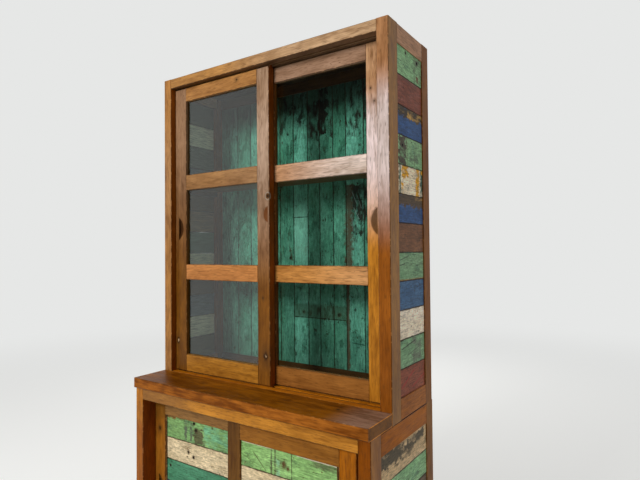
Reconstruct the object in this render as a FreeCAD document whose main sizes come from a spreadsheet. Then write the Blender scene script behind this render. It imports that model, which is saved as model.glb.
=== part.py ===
import FreeCAD, Part
import os
import re
import Sketcher

# A kitchen cabinet in two stacked cases, made of reclaimed hardwood posts and rails filled in
# with old painted boards. Each case has two doors that slide past each other in grooved rails:
# glazed doors above, boarded doors below. A counter slab covers the ledge in front of the upper
# case. Everything is in millimetres, +Z up, with the origin on the floor under the middle of
# the cabinet. The front faces -Y, and left and right are as seen from the front.

doc = FreeCAD.newDocument("kitchen_cabinet")

# Driving dimensions

driving_sizes = (
    ("case_width", "900"),
    ("lower_height", "720"),
    ("upper_height", "1080"),
    # the lower case is as deep as the upper one, the ledge before it and the step behind it
    ("upper_depth", "276"),
    ("ledge_depth", "120"),
    ("rear_step", "4"),
    ("leg_height", "44"),
    ("post_face", "36"),
    ("front_post_depth", "56"),
    ("rear_post_depth", "48"),
    ("ease", "1.5"),
    ("overrun", "5"),
    # the counter slab over the ledge, glued up from a wide front board and a narrow rear board
    ("counter_thickness", "33"),
    ("counter_overhang", "10"),
    ("counter_rear_board", "36"),
    ("counter_round", "4"),
    # rails of the two cases
    ("upper_head_height", "34"),
    ("upper_side_top_height", "54"),
    ("upper_side_bottom_height", "57"),
    ("upper_track_rail_depth", "80"),
    ("lower_head_height", "38"),
    ("lower_sill_height", "40"),
    ("lower_side_top_height", "59"),
    ("lower_side_bottom_height", "57"),
    ("lower_track_rail_depth", "84"),
    ("back_rail_thickness", "24"),
    # joints of the frame
    ("tenon_length", "15"),
    ("tenon_thickness", "10"),
    ("tenon_shoulder", "12"),
    ("front_tenon_shoulder", "6"),
    ("front_tenon_inset", "7"),
    # boards, and the grooves that house their edges
    ("housing_depth", "6"),
    ("board_gap", "0.4"),
    ("seat_clearance", "0.3"),
    ("board_ease", "1.2"),
    ("side_board_thickness", "14"),
    ("side_board_recess", "3"),
    ("back_board_thickness", "12"),
    ("back_board_recess", "6"),
    ("panel_thickness", "14"),
    ("panel_recess", "3"),
    # shelves
    ("shelf_thickness", "18"),
    ("shelf_setback", "3"),
    ("cleat_width", "18"),
    ("cleat_height", "20"),
    # tracks, and the tongues of the doors that run in them
    ("track_depth_above", "17"),
    ("track_depth_below", "4"),
    ("tongue_thickness", "10"),
    ("tongue_engagement", "8"),
    ("track_clearance", "0.5"),
    ("door_gap_above", "5"),
    ("door_gap_below", "6"),
    ("door_end_clearance", "2"),
    # glazed doors
    ("upper_door_setback", "19"),
    ("upper_door_thickness", "25"),
    ("upper_door_spacing", "3.5"),
    ("upper_door_overlap", "50"),
    ("outer_stile_width", "56"),
    ("meeting_stile_width", "50"),
    ("upper_door_top_rail", "47"),
    ("upper_door_mid_rail", "54"),
    ("upper_door_bottom_rail", "57"),
    ("glass_lip", "9"),
    ("glass_overlap", "8"),
    ("glass_thickness", "3"),
    ("glass_clearance", "0.5"),
    ("bead_depth", "8"),
    ("bead_bevel", "3"),
    # boarded doors
    ("lower_door_setback", "17"),
    ("lower_door_thickness", "28"),
    ("lower_door_spacing", "4"),
    ("lower_door_overlap", "56"),
    ("lower_door_stile", "51"),
    ("lower_door_top_rail", "49"),
    ("lower_door_bottom_rail", "59"),
    ("door_board_lip", "5"),
    ("door_board_thickness", "14"),
    ("door_groove_depth", "8"),
    ("lower_right_door_ajar", "12"),
    # joints of the doors
    ("door_tenon_length", "20"),
    ("door_tenon_thickness", "8"),
    ("door_tenon_shoulder", "11"),
    # half-moon finger pulls scooped out of the stiles
    ("pull_height", "86"),
    ("pull_width", "25"),
    ("pull_depth", "9"),
    ("left_pull_offset", "17"),
    ("right_pull_offset", "23"),
    ("centre_pull_height", "58"),
    ("centre_pull_width", "22"),
    ("centre_pull_depth", "8"),
    ("centre_pull_offset", "6"),
    ("centre_pull_rise", "34"),
)

upper_panel_board_count = 3
lower_panel_board_count = 4
pane_count = 3

# heights of the boards of the two sides, from the bottom up, as shares of the open height
upper_side_board_shares = (0.0785, 0.0815, 0.083, 0.0825, 0.0815, 0.0845,
                           0.083, 0.084, 0.085, 0.085, 0.087, 0.0845)
lower_side_board_shares = (0.120, 0.124, 0.122, 0.126, 0.123, 0.125, 0.124, 0.136)

# widths of the upright boards of the back, as shares of the width between the rear posts
back_board_shares = (0.101, 0.082, 0.097, 0.077, 0.074, 0.076, 0.061,
                     0.067, 0.062, 0.083, 0.082, 0.073, 0.065)

# heights of the boards of a lower door, from the bottom up, as shares of its opening: the
# lowest one is ripped down to fit
door_board_shares = (0.092, 0.151, 0.151, 0.152, 0.151, 0.151, 0.152)

sheet = doc.addObject("Spreadsheet::Sheet", "Sizes")
for row, (alias, number) in enumerate(driving_sizes, start=1):
    sheet.set(f"A{row}", alias)
    sheet.set(f"B{row}", number)
    sheet.setAlias(f"B{row}", alias)
doc.recompute()

# Formulas: they are kept as text and name the cells of the sheet

alias_pattern = re.compile(r"\b(" + "|".join(alias for alias, number in driving_sizes) + r")\b")


def formula(text):
    return alias_pattern.sub(r"Sizes.\1", text)


def bind(item, prop, text):
    item.setExpression(prop, formula(text))


def place(item, x, y, z):
    bind(item, ".Placement.Base.x", x)
    bind(item, ".Placement.Base.y", y)
    bind(item, ".Placement.Base.z", z)


def length_of(span):
    return f"{span[1]} - ({span[0]})"


def mirrored(span, sign):
    # a span of distances from the middle plane, on the left (-1) or on the right (1)
    if sign > 0:
        return span
    return f"-({span[1]})", f"-({span[0]})"


def middle(span, width):
    # a span of the given width in the middle of another
    centre = f"(({span[0]}) + ({span[1]})) / 2"
    return f"{centre} - ({width}) / 2", f"{centre} + ({width}) / 2"


# Blanks

def block(name, xs, ys, zs):
    # a plain box, for tenons, grooves and panes
    box = doc.addObject("Part::Box", name)
    bind(box, "Length", length_of(xs))
    bind(box, "Width", length_of(ys))
    bind(box, "Height", length_of(zs))
    place(box, xs[0], ys[0], zs[0])
    return box


plane_of = {"X": "YZ_Plane", "Y": "XZ_Plane", "Z": "XY_Plane"}


def outline(body, along, points):
    # a closed sketch through points, on the body's own plane square to the given direction
    sketch = body.newObject("Sketcher::SketchObject", body.Name + "_outline")
    plane = [item for item in body.Origin.OriginFeatures if item.Role == plane_of[along]][0]
    sketch.AttachmentSupport = [(plane, "")]
    sketch.MapMode = "FlatFace"
    count = len(points)
    for index in range(count):
        start = FreeCAD.Vector(index, index * index, 0)
        end = FreeCAD.Vector(index + 1, (index + 1) * (index + 1), 0)
        sketch.addGeometry(Part.LineSegment(start, end), False)
    for index in range(count):
        sketch.addConstraint(Sketcher.Constraint("Coincident", index, 2, (index + 1) % count, 1))
    for index, (across, up) in enumerate(points):
        for kind, distance in (("DistanceX", across), ("DistanceY", up)):
            number = sketch.addConstraint(Sketcher.Constraint(kind, -1, 1, index, 1, 1.0))
            bind(sketch, f"Constraints[{number}]", distance)
    return sketch


def prism(name, along, points, length, x, y, z):
    # an outline padded in +X, +Y or +Z from the given corner
    body = doc.addObject("PartDesign::Body", name)
    sketch = outline(body, along, points)
    pad = body.newObject("PartDesign::Pad", name + "_pad")
    pad.Profile = sketch
    pad.Reversed = along == "Y"
    bind(pad, "Length", length)
    place(body, x, y, z)
    return body


def eased(width, height, edge):
    # a rectangle with its four corners planed off
    return ((edge, "0"), (f"{width} - ({edge})", "0"), (width, edge), (width, f"{height} - ({edge})"),
            (f"{width} - ({edge})", height), (edge, height), ("0", f"{height} - ({edge})"), ("0", edge))


def stick(name, xs, ys, zs, along, edge="ease"):
    # a piece of sawn timber with its long edges eased
    spans = {"X": xs, "Y": ys, "Z": zs}
    across, up = [length_of(spans[axis]) for axis in "XYZ" if axis != along]
    points = eased(across, up, edge)
    return prism(name, along, points, length_of(spans[along]), xs[0], ys[0], zs[0])


# Pieces: a blank, what is left standing on it and what is cut from it

class Piece:
    def __init__(self, name, blank):
        self.name = name
        self.blank = blank
        self.tenons = []
        self.cutters = []

    def finish(self):
        result = self.blank
        if self.tenons:
            joined = doc.addObject("Part::MultiFuse", self.name + "_with_tenons")
            joined.Shapes = [result] + self.tenons
            joined.Refine = True
            result = joined
        if self.cutters:
            tool = self.cutters[0]
            if len(self.cutters) > 1:
                tool = doc.addObject("Part::MultiFuse", self.name + "_cutters")
                tool.Shapes = self.cutters
            cut = doc.addObject("Part::Cut", self.name + "_cut")
            cut.Base = result
            cut.Tool = tool
            cut.Refine = True
            result = cut
        return result


def join(rail, post, name, xs, ys, zs):
    # one block is both the tenon of the rail and the mortise in the post
    tenon = block(name, xs, ys, zs)
    rail.tenons.append(tenon)
    post.cutters.append(tenon)


nodes = []


def keep(label, *pieces):
    # one node: a single piece, or a group of pieces that stay separate solids
    if len(pieces) == 1:
        node = pieces[0]
    else:
        node = doc.addObject("Part::Compound", label + "_group")
        node.Links = list(pieces)
    node.Label = label
    nodes.append(node)
    return node


def board_row(name, along, spans, across, visible, starts):
    # boards side by side in a housing; the outer two reach into the grooves beside them
    rows = []
    last = len(starts) - 2
    for index in range(last + 1):
        low = f"{visible[0]} + {starts[index]:.4f} * ({length_of(visible)}) + board_gap / 2"
        high = f"{visible[0]} + {starts[index + 1]:.4f} * ({length_of(visible)}) - board_gap / 2"
        if index == 0:
            low = f"{spans[across][0]} + seat_clearance"
        if index == last:
            high = f"{spans[across][1]} - seat_clearance"
        own = dict(spans)
        own[across] = (low, high)
        own[along] = (f"{spans[along][0]} + seat_clearance", f"{spans[along][1]} - seat_clearance")
        rows.append(stick(f"{name}_{index + 1}", own["X"], own["Y"], own["Z"], along, "board_ease"))
    return rows


def even_starts(count):
    return [index / count for index in range(count + 1)]


def share_starts(shares):
    starts = [0.0]
    for share in shares:
        starts.append(starts[-1] + share)
    return starts


def house(panel_name, spans, pieces):
    # the housing of a panel is one block, cut from every piece around it
    cutter = block(panel_name + "_housing", spans["X"], spans["Y"], spans["Z"])
    for piece in pieces:
        piece.cutters.append(cutter)


def grown(span, amount):
    return f"{span[0]} - ({amount})", f"{span[1]} + ({amount})"


# Places shared by both cases

half_width = "(case_width / 2)"
inner_half = "(case_width / 2 - post_face)"
lower_depth = "(upper_depth + ledge_depth + rear_step)"
lower_front = f"((counter_overhang - {lower_depth}) / 2)"
lower_rear = f"((counter_overhang + {lower_depth}) / 2)"
upper_rear = f"({lower_rear} - rear_step)"
upper_front = f"({upper_rear} - upper_depth)"
counter_front = f"({lower_front} - counter_overhang)"
sides = (("left", -1), ("right", 1))

lower_case = {
    "name": "lower", "front": lower_front, "rear": lower_rear, "foot": "0", "top": "lower_height",
    "rail_foot": "leg_height", "head": "lower_head_height", "sill": "lower_sill_height",
    "side_top": "lower_side_top_height", "side_bottom": "lower_side_bottom_height",
    "track_rail": "lower_track_rail_depth", "side_boards": lower_side_board_shares,
    "panel_boards": lower_panel_board_count,
}
upper_case = {
    "name": "upper", "front": upper_front, "rear": upper_rear, "foot": "lower_height",
    "top": "(lower_height + upper_height)", "rail_foot": "lower_height",
    "head": "upper_head_height", "sill": "counter_thickness",
    "side_top": "upper_side_top_height", "side_bottom": "upper_side_bottom_height",
    "track_rail": "upper_track_rail_depth", "side_boards": upper_side_board_shares,
    "panel_boards": upper_panel_board_count,
}


def track_places(case):
    # low edge of each door across the depth: the front track first, then the rear track
    kind = case["name"]
    first = f"{case['front']} + {kind}_door_setback"
    second = f"{first} + {kind}_door_thickness + {kind}_door_spacing"
    return first, second


def tongue_span(case, door_front):
    door = (door_front, f"{door_front} + {case['name']}_door_thickness")
    return middle(door, "tongue_thickness")


def build_case(case):
    # posts, rails and boards of one case, without its doors
    kind = case["name"]
    front, rear, top = case["front"], case["rear"], case["top"]
    front_post = (front, f"{front} + front_post_depth")
    rear_post = (f"{rear} - rear_post_depth", rear)
    between_posts = (front_post[1], rear_post[0])
    whole_height = (case["foot"], top)
    top_rail = (f"{top} - {case['side_top']}", top)
    bottom_rail = (case["rail_foot"], f"{case['rail_foot']} + {case['side_bottom']}")
    open_height = (bottom_rail[1], top_rail[0])
    inside = (f"-{inner_half}", inner_half)
    track_rail = (front, f"{front} + {case['track_rail']}")
    back_rail = (f"{rear} - back_rail_thickness", rear)
    head_span = (f"{top} - {case['head']}", top)
    sill_span = (case["rail_foot"], f"{case['rail_foot']} + {case['sill']}")
    panel_top = (f"{top} - panel_recess - panel_thickness", f"{top} - panel_recess")
    panel_floor = (f"{sill_span[1]} - panel_thickness", sill_span[1])

    head = Piece(f"{kind}_head_rail", stick(f"{kind}_head_blank", inside, track_rail, head_span, "X"))
    sill = Piece(f"{kind}_sill", stick(f"{kind}_sill_blank", inside, track_rail, sill_span, "X"))
    back_rails = []
    for level, span in (("top", top_rail), ("bottom", bottom_rail)):
        blank = stick(f"{kind}_back_{level}_rail_blank", inside, back_rail, span, "X")
        back_rails.append(Piece(f"{kind}_back_{level}_rail", blank))

    posts = {}
    side_rails = {}
    for side, sign in sides:
        post_xs = mirrored((inner_half, half_width), sign)
        mortise_xs = mirrored((inner_half, f"{inner_half} + tenon_length"), sign)
        for end, span in (("front", front_post), ("rear", rear_post)):
            name = f"{kind}_{end}_{side}_post"
            posts[end, side] = Piece(name, stick(name + "_blank", post_xs, span, whole_height, "Z"))
        side_rails[side] = []
        for level, span in (("top", top_rail), ("bottom", bottom_rail)):
            name = f"{kind}_{side}_side_{level}_rail"
            rail = Piece(name, stick(name + "_blank", post_xs, between_posts, span, "Y"))
            side_rails[side].append(rail)
            tenon_xs = middle(post_xs, "tenon_thickness")
            tenon_zs = grown(span, "-tenon_shoulder")
            ahead = (f"{between_posts[0]} - tenon_length", between_posts[0])
            behind = (between_posts[1], f"{between_posts[1]} + tenon_length")
            join(rail, posts["front", side], name + "_front_tenon", tenon_xs, ahead, tenon_zs)
            join(rail, posts["rear", side], name + "_rear_tenon", tenon_xs, behind, tenon_zs)
        inset_ys = (f"{front} + front_tenon_inset", f"{front} + front_tenon_inset + tenon_thickness")
        for rail, span in ((head, head_span), (sill, sill_span)):
            tenon_zs = grown(span, "-front_tenon_shoulder")
            join(rail, posts["front", side], f"{rail.name}_{side}_tenon", mortise_xs, inset_ys, tenon_zs)
        for rail, span in zip(back_rails, (top_rail, bottom_rail)):
            tenon_ys = middle(back_rail, "tenon_thickness")
            tenon_zs = grown(span, "-tenon_shoulder")
            join(rail, posts["rear", side], f"{rail.name}_{side}_tenon", mortise_xs, tenon_ys, tenon_zs)

    # grooves for the tongues of the doors, in the rails above and below them
    for number, door_front in enumerate(track_places(case), start=1):
        groove_ys = grown(tongue_span(case, door_front), "track_clearance")
        above = (f"{head_span[0]} - overrun", f"{head_span[0]} + track_depth_above")
        below = (f"{sill_span[1]} - track_depth_below", f"{sill_span[1]} + overrun")
        head.cutters.append(block(f"{kind}_head_track_{number}", inside, groove_ys, above))
        sill.cutters.append(block(f"{kind}_sill_track_{number}", inside, groove_ys, below))

    # boards of the two sides
    outer_face = f"{half_width} - side_board_recess"
    side_groups = {}
    for side, sign in sides:
        spans = {
            "X": mirrored((f"{outer_face} - side_board_thickness", outer_face), sign),
            "Y": grown(between_posts, "housing_depth"),
            "Z": grown(open_height, "housing_depth"),
        }
        around = [posts["front", side], posts["rear", side]] + side_rails[side]
        house(f"{kind}_{side}_side", spans, around)
        side_groups[side] = board_row(f"{kind}_{side}_side_board", "Y", spans, "Z", open_height,
                                      share_starts(case["side_boards"]))

    # upright boards of the back
    spans = {
        "X": grown(inside, "housing_depth"),
        "Y": (f"{rear} - back_board_recess - back_board_thickness", f"{rear} - back_board_recess"),
        "Z": grown(open_height, "housing_depth"),
    }
    rear_posts = [posts["rear", "left"], posts["rear", "right"]]
    house(f"{kind}_back", spans, rear_posts + back_rails)
    back_boards = board_row(f"{kind}_back_board", "Z", spans, "X", inside,
                            share_starts(back_board_shares))

    # boards that close the case at its top and at its floor
    all_side_rails = side_rails["left"] + side_rails["right"]
    open_depth = (track_rail[1], back_rail[0])
    level_groups = {}
    for level, zs in (("top", panel_top), ("floor", panel_floor)):
        spans = {
            "X": grown(inside, "housing_depth"),
            "Y": grown(open_depth, "housing_depth"),
            "Z": zs,
        }
        front_rail = head if level == "top" else sill
        house(f"{kind}_{level}", spans, all_side_rails + back_rails + rear_posts + [front_rail])
        level_groups[level] = board_row(f"{kind}_{level}_board", "X", spans, "Y", open_depth,
                                        even_starts(case["panel_boards"]))

    for end in ("front", "rear"):
        for side, sign in sides:
            keep(f"{kind}_{end}_{side}_post", posts[end, side].finish())
    keep(f"{kind}_head_rail", head.finish())
    keep(f"{kind}_sill", sill.finish())
    keep(f"{kind}_back_rails", *[rail.finish() for rail in back_rails])
    for side, sign in sides:
        keep(f"{kind}_{side}_side_rails", *[rail.finish() for rail in side_rails[side]])
        keep(f"{kind}_{side}_side_boards", *side_groups[side])
    keep(f"{kind}_back_boards", *back_boards)
    keep(f"{kind}_top_boards", *level_groups["top"])
    keep(f"{kind}_floor_boards", *level_groups["floor"])


# Doors

def door_width(kind):
    return f"({inner_half} + {kind}_door_overlap / 2 - door_end_clearance)"


def door_frame(case):
    # heights of a door: its shoulders, and its tongues above and below them
    head_soffit = f"{case['top']} - {case['head']}"
    sill_top = f"{case['rail_foot']} + {case['sill']}"
    shoulders = (f"({sill_top} + door_gap_below)", f"({head_soffit} - door_gap_above)")
    foot = f"{sill_top} - track_depth_below + seat_clearance"
    crown = f"{head_soffit} + tongue_engagement"
    return shoulders, (foot, crown)


def tongue_cutters(case, name, xs, ys, shoulders, whole):
    # what is planed off both faces above and below the shoulders, to leave the tongues
    tongue = tongue_span(case, ys[0])
    above = (shoulders[1], f"{whole[1]} + overrun")
    below = (f"{whole[0]} - overrun", shoulders[0])
    front_waste = (f"{ys[0]} - overrun", tongue[0])
    rear_waste = (tongue[1], f"{ys[1]} + overrun")
    long_xs = grown(xs, "overrun")
    cutters = []
    for end, zs in (("top", above), ("bottom", below)):
        for face, waste in (("front", front_waste), ("rear", rear_waste)):
            cutters.append(block(f"{name}_{end}_{face}_waste", long_xs, waste, zs))
    return cutters


def finger_pull(name, wall_x, inward, face_y, centre_z, prefix):
    # a half-moon scoop: a ball cut off by the straight wall that the finger pushes on.
    # inward is 1 where the scoop runs from its wall in +X, and -1 where it runs in -X
    high, wide, deep = f"{prefix}pull_height", f"{prefix}pull_width", f"{prefix}pull_depth"
    ring = f"((({high} / 2) ^ 2 + {wide} ^ 2) / (2 * {wide}))"
    out = f"({ring} - {wide})"
    lift = f"(({ring} ^ 2 - {out} ^ 2 - {deep} ^ 2) / (2 * {deep}))"
    ball = doc.addObject("Part::Sphere", name + "_ball")
    bind(ball, "Radius", f"sqrt({lift} ^ 2 + {ring} ^ 2)")
    place(ball, f"{wall_x} - {inward} * {out}", f"{face_y} - {lift}", centre_z)
    reach = f"({wide} + overrun)"
    xs = (wall_x, f"{wall_x} + {reach}")
    if inward < 0:
        xs = (f"{wall_x} - {reach}", wall_x)
    ys = (f"{face_y} - overrun", f"{face_y} + {deep} + overrun")
    zs = (f"{centre_z} - {high} / 2 - overrun", f"{centre_z} + {high} / 2 + overrun")
    limit = block(name + "_limit", xs, ys, zs)
    scoop = doc.addObject("Part::Common", name)
    scoop.Base = ball
    scoop.Tool = limit
    return scoop


def build_door(case, side, sign, track, shift, widths, rails, recess, pulls):
    # stiles, rails and joints of one door; returns its pieces and the openings between them
    kind = case["name"]
    name = f"{kind}_{side}_door"
    door_front = track_places(case)[track]
    ys = (door_front, f"{door_front} + {kind}_door_thickness")
    shoulders, whole = door_frame(case)
    outer_x = f"({inner_half} - door_end_clearance)"
    inner_x = f"({outer_x} - {door_width(kind)})"
    outer_stile = (f"{outer_x} - {widths[0]}", outer_x)
    meeting_stile = (inner_x, f"{inner_x} + {widths[1]}")
    spans = {}
    for part, span in (("outer", outer_stile), ("meeting", meeting_stile)):
        low, high = mirrored(span, sign)
        spans[part] = (f"({low} + {shift})", f"({high} + {shift})")
    left, right = (spans["outer"], spans["meeting"]) if sign < 0 else (spans["meeting"], spans["outer"])
    open_xs = (left[1], right[0])
    whole_xs = (left[0], right[1])

    stiles = {}
    for part in ("outer", "meeting"):
        label = f"{name}_{part}_stile"
        stiles[part] = Piece(label, stick(label + "_blank", spans[part], ys, whole, "Z"))
    left_stile, right_stile = ((stiles["outer"], stiles["meeting"]) if sign < 0
                               else (stiles["meeting"], stiles["outer"]))

    # rails from the bottom up, with the openings between them
    fixed = " + ".join(rails.values())
    count = len(rails) - 1
    opening = f"(({length_of(shoulders)} - ({fixed})) / {count})"
    pieces = {}
    openings = []
    level = shoulders[0]
    for index, (rail_name, height) in enumerate(rails.items()):
        zs = (level, f"({level} + {height})")
        blank_zs = zs
        if index == 0:
            blank_zs = (whole[0], zs[1])
        if index == count:
            blank_zs = (zs[0], whole[1])
        label = f"{name}_{rail_name}"
        rail = Piece(label, stick(label + "_blank", open_xs, ys, blank_zs, "X"))
        tenon_ys = middle(ys, "door_tenon_thickness")
        tenon_zs = grown(zs, "-door_tenon_shoulder")
        join(rail, left_stile, label + "_left_tenon",
             (f"{open_xs[0]} - door_tenon_length", open_xs[0]), tenon_ys, tenon_zs)
        join(rail, right_stile, label + "_right_tenon",
             (open_xs[1], f"{open_xs[1]} + door_tenon_length"), tenon_ys, tenon_zs)
        pieces[rail_name] = rail
        if index < count:
            openings.append((zs[1], f"({zs[1]} + {opening})"))
            level = openings[-1][1]

    waste = tongue_cutters(case, name, whole_xs, ys, shoulders, whole)
    names = list(rails)
    for piece in (stiles["outer"], stiles["meeting"], pieces[names[0]], pieces[names[-1]]):
        piece.cutters.extend(waste)

    # rebates or grooves around each opening
    everything = list(stiles.values()) + list(pieces.values())
    for number, opening_zs in enumerate(openings, start=1):
        cutter = block(f"{name}_recess_{number}", grown(open_xs, recess["overlap"]),
                       (f"{ys[0]} + {recess['front']}", f"{ys[0]} + {recess['rear']}"),
                       grown(opening_zs, recess["overlap"]))
        for piece in everything:
            piece.cutters.append(cutter)

    # finger pulls, each with its straight wall towards the stile's outer edge
    centre_z = f"(({shoulders[0]} + {shoulders[1]}) / 2)"
    for part, offset, rise, prefix in pulls:
        at_left = (part == "outer") == (sign < 0)
        stile = spans[part]
        wall_x = f"({stile[0]} + {offset})" if at_left else f"({stile[1]} - {offset})"
        scoop = finger_pull(f"{name}_{part}_pull", wall_x, 1 if at_left else -1, ys[0],
                            f"({centre_z} + {rise})", prefix)
        stiles[part].cutters.append(scoop)

    for part in ("outer", "meeting"):
        keep(f"{name}_{part}_stile", stiles[part].finish())
    for rail_name, piece in pieces.items():
        keep(f"{name}_{rail_name}", piece.finish())
    return name, ys, open_xs, openings


def bead(name, along, flip_across, flip_up, xs, ys, zs):
    # a glazing bead with a bevel on the edge that faces the room inside the case
    spans = {"X": xs, "Y": ys, "Z": zs}
    across, up = [length_of(spans[axis]) for axis in "XYZ" if axis != along]
    points = [("0", "0"), (across, "0"), (across, f"{up} - bead_bevel"),
              (f"{across} - bead_bevel", up), ("0", up)]
    if flip_across:
        points = [(f"{across} - ({first})", second) for first, second in points]
    if flip_up:
        points = [(first, f"{up} - ({second})") for first, second in points]
    return prism(name, along, points, length_of(spans[along]), xs[0], ys[0], zs[0])


def glaze(name, ys, open_xs, openings):
    # a pane in each opening, against the front lip, with four beads behind it
    pane_ys = (f"{ys[0]} + glass_lip", f"{ys[0]} + glass_lip + glass_thickness")
    bead_ys = (pane_ys[1], f"{pane_ys[1]} + bead_depth")
    room = "(glass_overlap - glass_clearance)"
    panes = []
    beads = []
    for number, opening_zs in enumerate(openings, start=1):
        panes.append(block(f"{name}_pane_{number}", grown(open_xs, room), pane_ys,
                           grown(opening_zs, room)))
        full_xs = grown(open_xs, "glass_overlap")
        tag = f"{name}_bead_{number}"
        low_zs = (f"{opening_zs[0]} - glass_overlap", opening_zs[0])
        high_zs = (opening_zs[1], f"{opening_zs[1]} + glass_overlap")
        left_xs = (full_xs[0], open_xs[0])
        right_xs = (open_xs[1], full_xs[1])
        beads.append(bead(tag + "_low", "X", False, False, full_xs, bead_ys, low_zs))
        beads.append(bead(tag + "_high", "X", False, True, full_xs, bead_ys, high_zs))
        beads.append(bead(tag + "_left", "Z", False, False, left_xs, bead_ys, opening_zs))
        beads.append(bead(tag + "_right", "Z", True, False, right_xs, bead_ys, opening_zs))
    keep(f"{name}_panes", *panes)
    keep(f"{name}_beads", *beads)


def fill_with_boards(name, ys, open_xs, opening_zs):
    # boards across a lower door, housed in the grooves of its frame
    spans = {
        "X": grown(open_xs, "door_groove_depth"),
        "Y": (f"{ys[0]} + door_board_lip", f"{ys[0]} + door_board_lip + door_board_thickness"),
        "Z": grown(opening_zs, "door_groove_depth"),
    }
    keep(f"{name}_boards", *board_row(f"{name}_board", "X", spans, "Z", opening_zs,
                                      share_starts(door_board_shares)))


def build_upper_doors():
    rails = {
        "bottom_rail": "upper_door_bottom_rail",
        "lower_mid_rail": "upper_door_mid_rail",
        "upper_mid_rail": "upper_door_mid_rail",
        "top_rail": "upper_door_top_rail",
    }
    recess = {"overlap": "glass_overlap", "front": "glass_lip",
              "rear": "upper_door_thickness + overrun"}
    widths = ("outer_stile_width", "meeting_stile_width")
    left_pulls = (("outer", "left_pull_offset", "0", ""),
                  ("meeting", "centre_pull_offset", "centre_pull_rise", "centre_"))
    right_pulls = (("outer", "right_pull_offset", "0", ""),)
    # the left door runs in the front track and the right door in the rear track
    for side, sign, track, pulls in (("left", -1, 0, left_pulls), ("right", 1, 1, right_pulls)):
        glaze(*build_door(upper_case, side, sign, track, "0", widths, rails, recess, pulls))


def build_lower_doors():
    rails = {"bottom_rail": "lower_door_bottom_rail", "top_rail": "lower_door_top_rail"}
    recess = {"overlap": "door_groove_depth", "front": "door_board_lip",
              "rear": "door_board_lip + door_board_thickness"}
    widths = ("lower_door_stile", "lower_door_stile")
    left_pulls = (("outer", "left_pull_offset", "0", ""),)
    right_pulls = (("outer", "right_pull_offset", "0", ""),
                   ("meeting", "centre_pull_offset", "0", "centre_"))
    # here the right door runs in the front track, and it stands a little short of closed
    for side, sign, track, shift, pulls in (("left", -1, 1, "0", left_pulls),
                                            ("right", 1, 0, "-lower_right_door_ajar", right_pulls)):
        name, ys, open_xs, openings = build_door(lower_case, side, sign, track, f"({shift})",
                                                 widths, rails, recess, pulls)
        fill_with_boards(name, ys, open_xs, openings[0])


# Shelves, their cleats and the counter

board_inner = f"({half_width} - side_board_recess - side_board_thickness)"


def shelf(name, case, low_z):
    # a shelf that reaches the side boards and is notched round the two rear posts
    front = f"{case['front']} + {case['track_rail']} + shelf_setback"
    post = f"({case['rear']} - rear_post_depth - seat_clearance)"
    back = f"({case['rear']} - back_board_recess - back_board_thickness - seat_clearance)"
    wide = f"({board_inner} - seat_clearance)"
    narrow = f"({inner_half} - seat_clearance)"
    notch = f"({post} - ({front}))"
    deep = f"({back} - ({front}))"
    points = ((f"-{wide}", "0"), (wide, "0"), (wide, notch), (narrow, notch),
              (narrow, deep), (f"-{narrow}", deep), (f"-{narrow}", notch), (f"-{wide}", notch))
    return prism(name + "_panel", "Z", points, "shelf_thickness", "0", front, low_z)


def cleats(name, case, shelf_low):
    # a batten under each end of a shelf, between the front and the rear post
    found = []
    ys = (f"{case['front']} + front_post_depth", f"{case['rear']} - rear_post_depth")
    zs = (f"{shelf_low} - cleat_height", shelf_low)
    for side, sign in sides:
        xs = mirrored((f"{board_inner} - cleat_width", board_inner), sign)
        found.append(stick(f"{name}_{side}_cleat", xs, ys, zs, "Y"))
    return found


def build_shelves():
    # the two upper shelves stand level with the middle rails of the glazed doors
    shoulders, whole = door_frame(upper_case)
    fixed = "upper_door_bottom_rail + 2 * upper_door_mid_rail + upper_door_top_rail"
    pane = f"(({length_of(shoulders)} - ({fixed})) / {pane_count})"
    all_cleats = []
    for number, name in enumerate(("upper_low_shelf", "upper_high_shelf"), start=1):
        rails_below = f"{number - 1} * upper_door_mid_rail + upper_door_mid_rail / 2"
        rail_middle = f"{shoulders[0]} + upper_door_bottom_rail + {number} * {pane} + {rails_below}"
        low = f"({rail_middle} - shelf_thickness / 2)"
        keep(name, shelf(name, upper_case, low))
        all_cleats.extend(cleats(name, upper_case, low))
    lower_floor = "(leg_height + lower_sill_height)"
    lower_ceiling = "(lower_height - panel_recess - panel_thickness)"
    low = f"(({lower_floor} + {lower_ceiling} - shelf_thickness) / 2)"
    keep("lower_shelf", shelf("lower_shelf", lower_case, low))
    all_cleats.extend(cleats("lower_shelf", lower_case, low))
    keep("shelf_cleats", *all_cleats)


def edges_at(shape, low, high):
    # names of the edges that lie inside a box given by two corners
    found = []
    room = FreeCAD.BoundBox(low, high)
    for number, edge in enumerate(shape.Edges, start=1):
        if room.isInside(edge.BoundBox):
            found.append(f"Edge{number}")
    return found


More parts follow.
